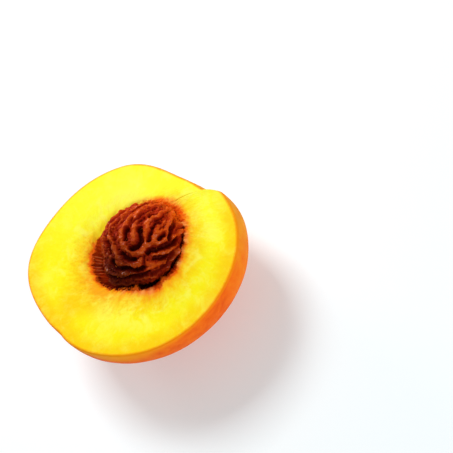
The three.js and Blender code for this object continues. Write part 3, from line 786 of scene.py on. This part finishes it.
# Its shell: orange-brown on the worn ridges and dark red in the furrows, darker still in the deep pits partly
# as painted shade, and damp with juice. Painted shade darkens it towards the blossom tip and the flank away
# from the light, with a painted darker patch at the tip and a painted lighter spot low on its side (place,
# size, share).
RIDGE, BARK, VALLEY_AND_SHADE, PIT_AND_SHADE = (234, 96, 8), (176, 44, 5), (150, 26, 4), (104, 13, 2)
THREAD, PLUM_AND_GLINT = (255, 112, 12), (150, 62, 50)
PAINTED_SHADE_ALONG, PAINTED_SHADE_SHARES = (-14, -7, 0, 7, 12), (0.3, 0.5, 0.76, 1.0, 1.1)
PAINTED_LIGHT_AND_SHADE_SPOTS = [((-15, -3), 5.5, -0.38), ((-5, -13), 5, 0.7)]

shell, shell_shader = new_finish("peach_stone", {
    "IOR": 1.45, "Coat Roughness": 0.15, "Specular IOR Level": 0.05,
})
sunk = shell_shader.field("sink")
clings = shell_shader.field("clings")
painted_light_and_shade_at = shell_shader.field("painted_light_and_shade")
knots = shell_shader.grain(430.0, 5.0, 0.65, 0.5)
threads = shell_shader.grain(1500.0, 4.0, 0.7, 1.2)
pinholes = shell_shader.grain(3800.0, 2.0, 0.6)
uneven = (knots - 0.5) * 1.3 + (threads - 0.5) * 1.0
worn = (0.8 - sunk + uneven * 1.3).between(0.1, 1.2)
shell_colour = worn.mixed(BARK, RIDGE)
# Purple-grey flecks: partly the shell's own colour and partly painted glints.
shell_colour = (threads.between(0.6, 0.8) * 0.3).mixed(shell_colour, PLUM_AND_GLINT)
# Deeper down the furrows and pits the shell turns dark red, partly its own colour and partly painted shade.
shell_colour = ((sunk + uneven * 0.5).between(0.45, 1.25) * 0.9).mixed(shell_colour, VALLEY_AND_SHADE)
shell_colour = ((sunk + uneven * 0.4).between(1.0, 2.1) * 0.95).mixed(shell_colour, PIT_AND_SHADE)
# Painted light and shade: the shell's colour is scaled down away from the light and up towards it.
shell_colour = shell_colour.dimmed(painted_light_and_shade_at)
shell_colour = (clings * threads.between(0.3, 0.6)).mixed(shell_colour, THREAD)
wear(shell_shader, {
    "Base Color": shell_colour,
    "Roughness": 0.34 + 0.35 * knots,
    "Coat Weight": worn * (knots * 0.7 + threads * 0.3).between(0.46, 0.6) * 0.6,
    "Normal": bumped(threads * 0.5 + knots * 0.3 + pinholes * 0.2, 0.12, 0.7),
})

cling = clung(way_angle) * smooth(0.6, 0.15, way[..., 2])
# Painted light and shade over the stone: dark at the blossom tip and the flank away from the light, full
# towards the stem end and the lit side.
stone_towards_light = 0.82 * smooth_stone[..., 0] + 0.57 * smooth_stone[..., 1]
painted_light_and_shade = np.interp(stone_towards_light, PAINTED_SHADE_ALONG, PAINTED_SHADE_SHARES)
for place, size, share in PAINTED_LIGHT_AND_SHADE_SPOTS:
    painted_light_and_shade *= 1 + share * np.exp(-((smooth_stone[..., :2] - place) ** 2).sum(-1) / size**2)
stone_fields = {
    # Cracks and stripes count as deeper, so the shell is painted darker along them, partly as shade in them.
    "sink": sink * (1 - 0.5 * striped) + 0.35 * cracks + 1.3 * stripes,
    "clings": cling,
    "painted_light_and_shade": painted_light_and_shade,
}
stone = mesh_piece("peach_stone", stone_points - middle, stone_faces,
                   {name: with_ends(values) for name, values in stone_fields.items()}, [shell])
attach(stone, "root")
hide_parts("stone")


# ---------------------------------------------------------------------------- the torn fibres
# Threads of flesh that held the stone: they hang from the torn rim of the hollow like a comb, stand in
# tufts at the lower edge, and still cling to the stone at its stem end. Each is a thin tapered strand.

PATH_STEPS, SIDES = 7, 5
ROOT_TO_TIP = np.linspace(0, 1, PATH_STEPS)
TIP_TAPER, TIP_DIMMER = 0.85, 0.4
CLUMP, CLUMP_SPREAD = 5, 0.7

# Strands round the hollow: how many, between which angles about the stone, how far outside the rim they
# start and how far in they reach, how high they arch, how deep they dive, their radius, tone and swing.
# The first two rows are the tufts.
RIM_STRANDS = [
    (110, (-141, -133), (0.0, 1.0), (0.8, 2.2), (0.2, 0.7), (-0.3, 0.6), (0.04, 0.09), (0.6, 1.0), 0.6),
    (110, (-107, -99), (0.0, 1.0), (0.8, 2.2), (0.2, 0.7), (-0.3, 0.6), (0.04, 0.09), (0.6, 1.0), 0.6),
    (300, (108, 232), (-0.5, 0.4), (0.4, 1.1), (0.0, 0.2), (0.2, 1.4), (0.05, 0.10), (0.4, 1.0), 0.25),
    (260, (-30, 50), (0.2, 1.6), (0.7, 2.0), (0.3, 1.0), (-1.0, 0.2), (0.03, 0.08), (0.3, 1.0), 0.8),
    (70, (50, 108), (-0.3, 0.4), (0.4, 1.0), (0.0, 0.15), (0.0, 0.6), (0.03, 0.06), (0.5, 1.0), 0.5),
    (260, (-160, -40), (-0.4, 0.6), (0.5, 1.4), (0.0, 0.2), (0.1, 1.4), (0.03, 0.08), (0.2, 1.0), 0.5),
]
rng = np.random.default_rng(7)
strand_points, strand_faces, strand_tone = [], [], []


def add_strands(paths, radius, tone):
    """Closed strands along many paths at once, thick at the root and thin at the tip, each with its own
    radius and tone. A strand is darker to its tip."""
    along = unit(np.gradient(paths, axis=1), TINY)
    beside = unit(np.cross(along, np.array([0.31, 0.17, 0.93])), TINY)
    above = np.cross(along, beside)
    thick = radius[:, None] * (1 - TIP_TAPER * ROOT_TO_TIP**0.8)
    turns = 2 * math.pi * np.arange(SIDES) / SIDES
    sides = [paths + thick[..., None] * (math.cos(t) * beside + math.sin(t) * above) for t in turns]
    start = sum(len(points) for points in strand_points)
    strand_points.append(np.stack(sides, 2).reshape(-1, 3))
    tones = tone[:, None] * (1 - TIP_DIMMER * ROOT_TO_TIP)
    strand_tone.append(np.repeat(tones.ravel(), SIDES))
    for strand in range(len(paths)):
        base = start + strand * PATH_STEPS * SIDES
        for step in range(PATH_STEPS - 1):
            for side in range(SIDES):
                here = base + step * SIDES + side
                beside_it = base + step * SIDES + (side + 1) % SIDES
                strand_faces.append((here, beside_it, beside_it + SIDES, here + SIDES))
        strand_faces.append(tuple(base + side for side in reversed(range(SIDES))))
        strand_faces.append(tuple(base + (PATH_STEPS - 1) * SIDES + side for side in range(SIDES)))


def rim_strands(count, between, outside, inside, lift, dive, radius, tones, swing):
    """Strands from the flesh round the hollow towards the stone. They stand in small clumps."""
    clump = rng.uniform(*between, count // CLUMP)
    angle = rng.choice(clump, count) + rng.normal(0, CLUMP_SPREAD, count)
    start = rng.uniform(*outside, count)
    end = start - rng.uniform(*inside, count)
    swerve = rng.normal(0, swing, count)
    raised = rng.uniform(*lift, count)
    dropped = rng.uniform(*dive, count)
    paths = []
    for share in ROOT_TO_TIP:
        out = start + (end - start) * share
        at = angle + np.degrees(swerve * share**1.5 / MEAN_RADIUS)
        point = plan_points(at, rim_clearance(at) * (1 - clung(at)) + out, 0)
        shoulder = FACE_Z - SHOULDER_DROP * smooth(4, 0, np.clip(out, 0, None)) - 0.2 * (1 - share)
        point[:, 2] = shoulder + raised * np.sin(math.pi * min(share * 1.2, 1)) - dropped * share**2
        paths.append(point)
    add_strands(np.stack(paths, 1), rng.uniform(*radius, count), rng.uniform(*tones, count))


for row in RIM_STRANDS:
    rim_strands(*row)

# Threads that cling to the stone, most of them at its stem end and low on its sides.
CLINGING_THREADS, ELSEWHERE = 420, 0.04
chance = np.clip(cling, 0, 1).ravel() + ELSEWHERE
picks = rng.choice(chance.size, CLINGING_THREADS, replace=False, p=chance / chance.sum())
spots, outs = turned.reshape(-1, 3)[picks], stone_out.reshape(-1, 3)[picks]
lie = unit(np.cross(outs, np.array([0.1, 0.2, 1.0])), TINY)
athwart = np.cross(lie, outs)
heading = rng.uniform(0, 2 * math.pi, len(picks))
course = np.cos(heading)[:, None] * lie + np.sin(heading)[:, None] * athwart
length = rng.uniform(0.5, 1.7, len(picks))
bend = rng.normal(0, 0.35, len(picks))
paths = []
for share in ROOT_TO_TIP - 0.5:
    aside = np.cross(outs, course)
    bent = aside * (bend * share**2 * length)[:, None] * 2
    hug = outs * (0.07 - (length * share)[:, None] ** 2 / 24)
    paths.append(spots + course * (length * share)[:, None] + bent + hug)
add_strands(np.stack(paths, 1), rng.uniform(0.025, 0.06, len(picks)), rng.uniform(0.2, 1.0, len(picks)))

SHADED, BRIGHT = (140, 30, 4), (250, 140, 24)
fibre, fibre_shader = new_finish("torn_fibres", {
    "IOR": 1.36, "Specular IOR Level": 0.2, "Roughness": 0.4, "Subsurface Weight": 0.2,
    "Subsurface Scale": 0.0005, "Subsurface Radius": (1.0, 0.4, 0.1),
})
tone = fibre_shader.field("tone")
fibre_colour = tone.between(0.0, 0.55).mixed(SHADED, EMBER)
fibre_colour = (tone.between(0.6, 1.0) * 0.8).mixed(fibre_colour, BRIGHT)
wear(fibre_shader, {"Base Color": fibre_colour})
fibres = mesh_piece("torn_fibres", np.concatenate(strand_points) - middle, strand_faces,
                    {"tone": np.concatenate(strand_tone)}, [fibre])
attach(fibres, "root")


# ---------------------------------------------------------------------------- floor, light, camera
# A pale table under soft studio light from above and behind, seen from the front and above, turned so
# that the stem end is at the upper right.

FLOOR_REACH = 3.0
corners = [(FLOOR_REACH * x, FLOOR_REACH * y, 0) for x, y in ((-1, -1), (1, -1), (1, 1), (-1, 1))]
table_mesh = bpy.data.meshes.new("table")
table_mesh.from_pydata(corners, [], [(0, 1, 2, 3)])
table = bpy.data.objects.new("table", table_mesh)
bpy.context.scene.collection.objects.link(table)
pale, _ = new_finish("pale_table", {
    "Base Color": (0.70, 0.77, 0.79, 1), "Roughness": 0.9, "Specular IOR Level": 0.1,
    "Emission Color": (1.0, 1.0, 1.0, 1), "Emission Strength": 0.27,
})
table_mesh.materials.append(pale)

world = bpy.data.worlds.new("studio")
bpy.context.scene.world = world
world.use_nodes = True
world.node_tree.nodes["Background"].inputs["Color"].default_value = (1.0, 1.0, 1.0, 1)
world.node_tree.nodes["Background"].inputs["Strength"].default_value = 0.34

AIM = Vector((-0.0023, -0.0016, FACE_Z * MM))


def softbox(name, place, size, power):
    """A square lamp at a place from the half, turned to it."""
    lamp = bpy.data.lights.new(name, "AREA")
    lamp.size = size
    lamp.energy = power
    holder = bpy.data.objects.new(name, lamp)
    holder.location = AIM + Vector(place)
    holder.rotation_euler = (-Vector(place)).to_track_quat("-Z", "Y").to_euler()
    bpy.context.scene.collection.objects.link(holder)


softbox("key", (0.08, 0.50, 0.74), 0.34, 5.6)
softbox("fill", (0.25, -0.75, 0.22), 0.5, 2.7)
softbox("rim", (-0.07, 0.80, 0.20), 0.25, 1.6)

FRAME_PIXELS, LENS, SENSOR = 453, 100.0, 36.0
SEEN_AT = (131, 262)
TILT, ROLL, DISTANCE = math.radians(33), math.radians(44.4), 0.430
back = Vector((0, -math.sin(TILT), math.cos(TILT)))
right = Vector((1, 0, 0))
up = back.cross(right)
level_right = right * math.cos(ROLL) - up * math.sin(ROLL)
level_up = right * math.sin(ROLL) + up * math.cos(ROLL)
focal = LENS / SENSOR * FRAME_PIXELS
seen = Vector(((SEEN_AT[0] - FRAME_PIXELS / 2) / focal, -(SEEN_AT[1] - FRAME_PIXELS / 2) / focal, -1))
turn = seen.normalized().rotation_difference(Vector((0, 0, -1))).to_matrix()
basis = Matrix((level_right, level_up, back)).transposed() @ turn

camera_data = bpy.data.cameras.new("camera")
camera_data.lens = LENS
camera_data.sensor_width = SENSOR
camera_data.clip_start = 0.01
camera = bpy.data.objects.new("camera", camera_data)
camera.matrix_world = Matrix.Translation(AIM + back * DISTANCE) @ basis.to_4x4()
bpy.context.scene.collection.objects.link(camera)
bpy.context.scene.camera = camera
bpy.context.scene.view_settings.view_transform = "Standard"
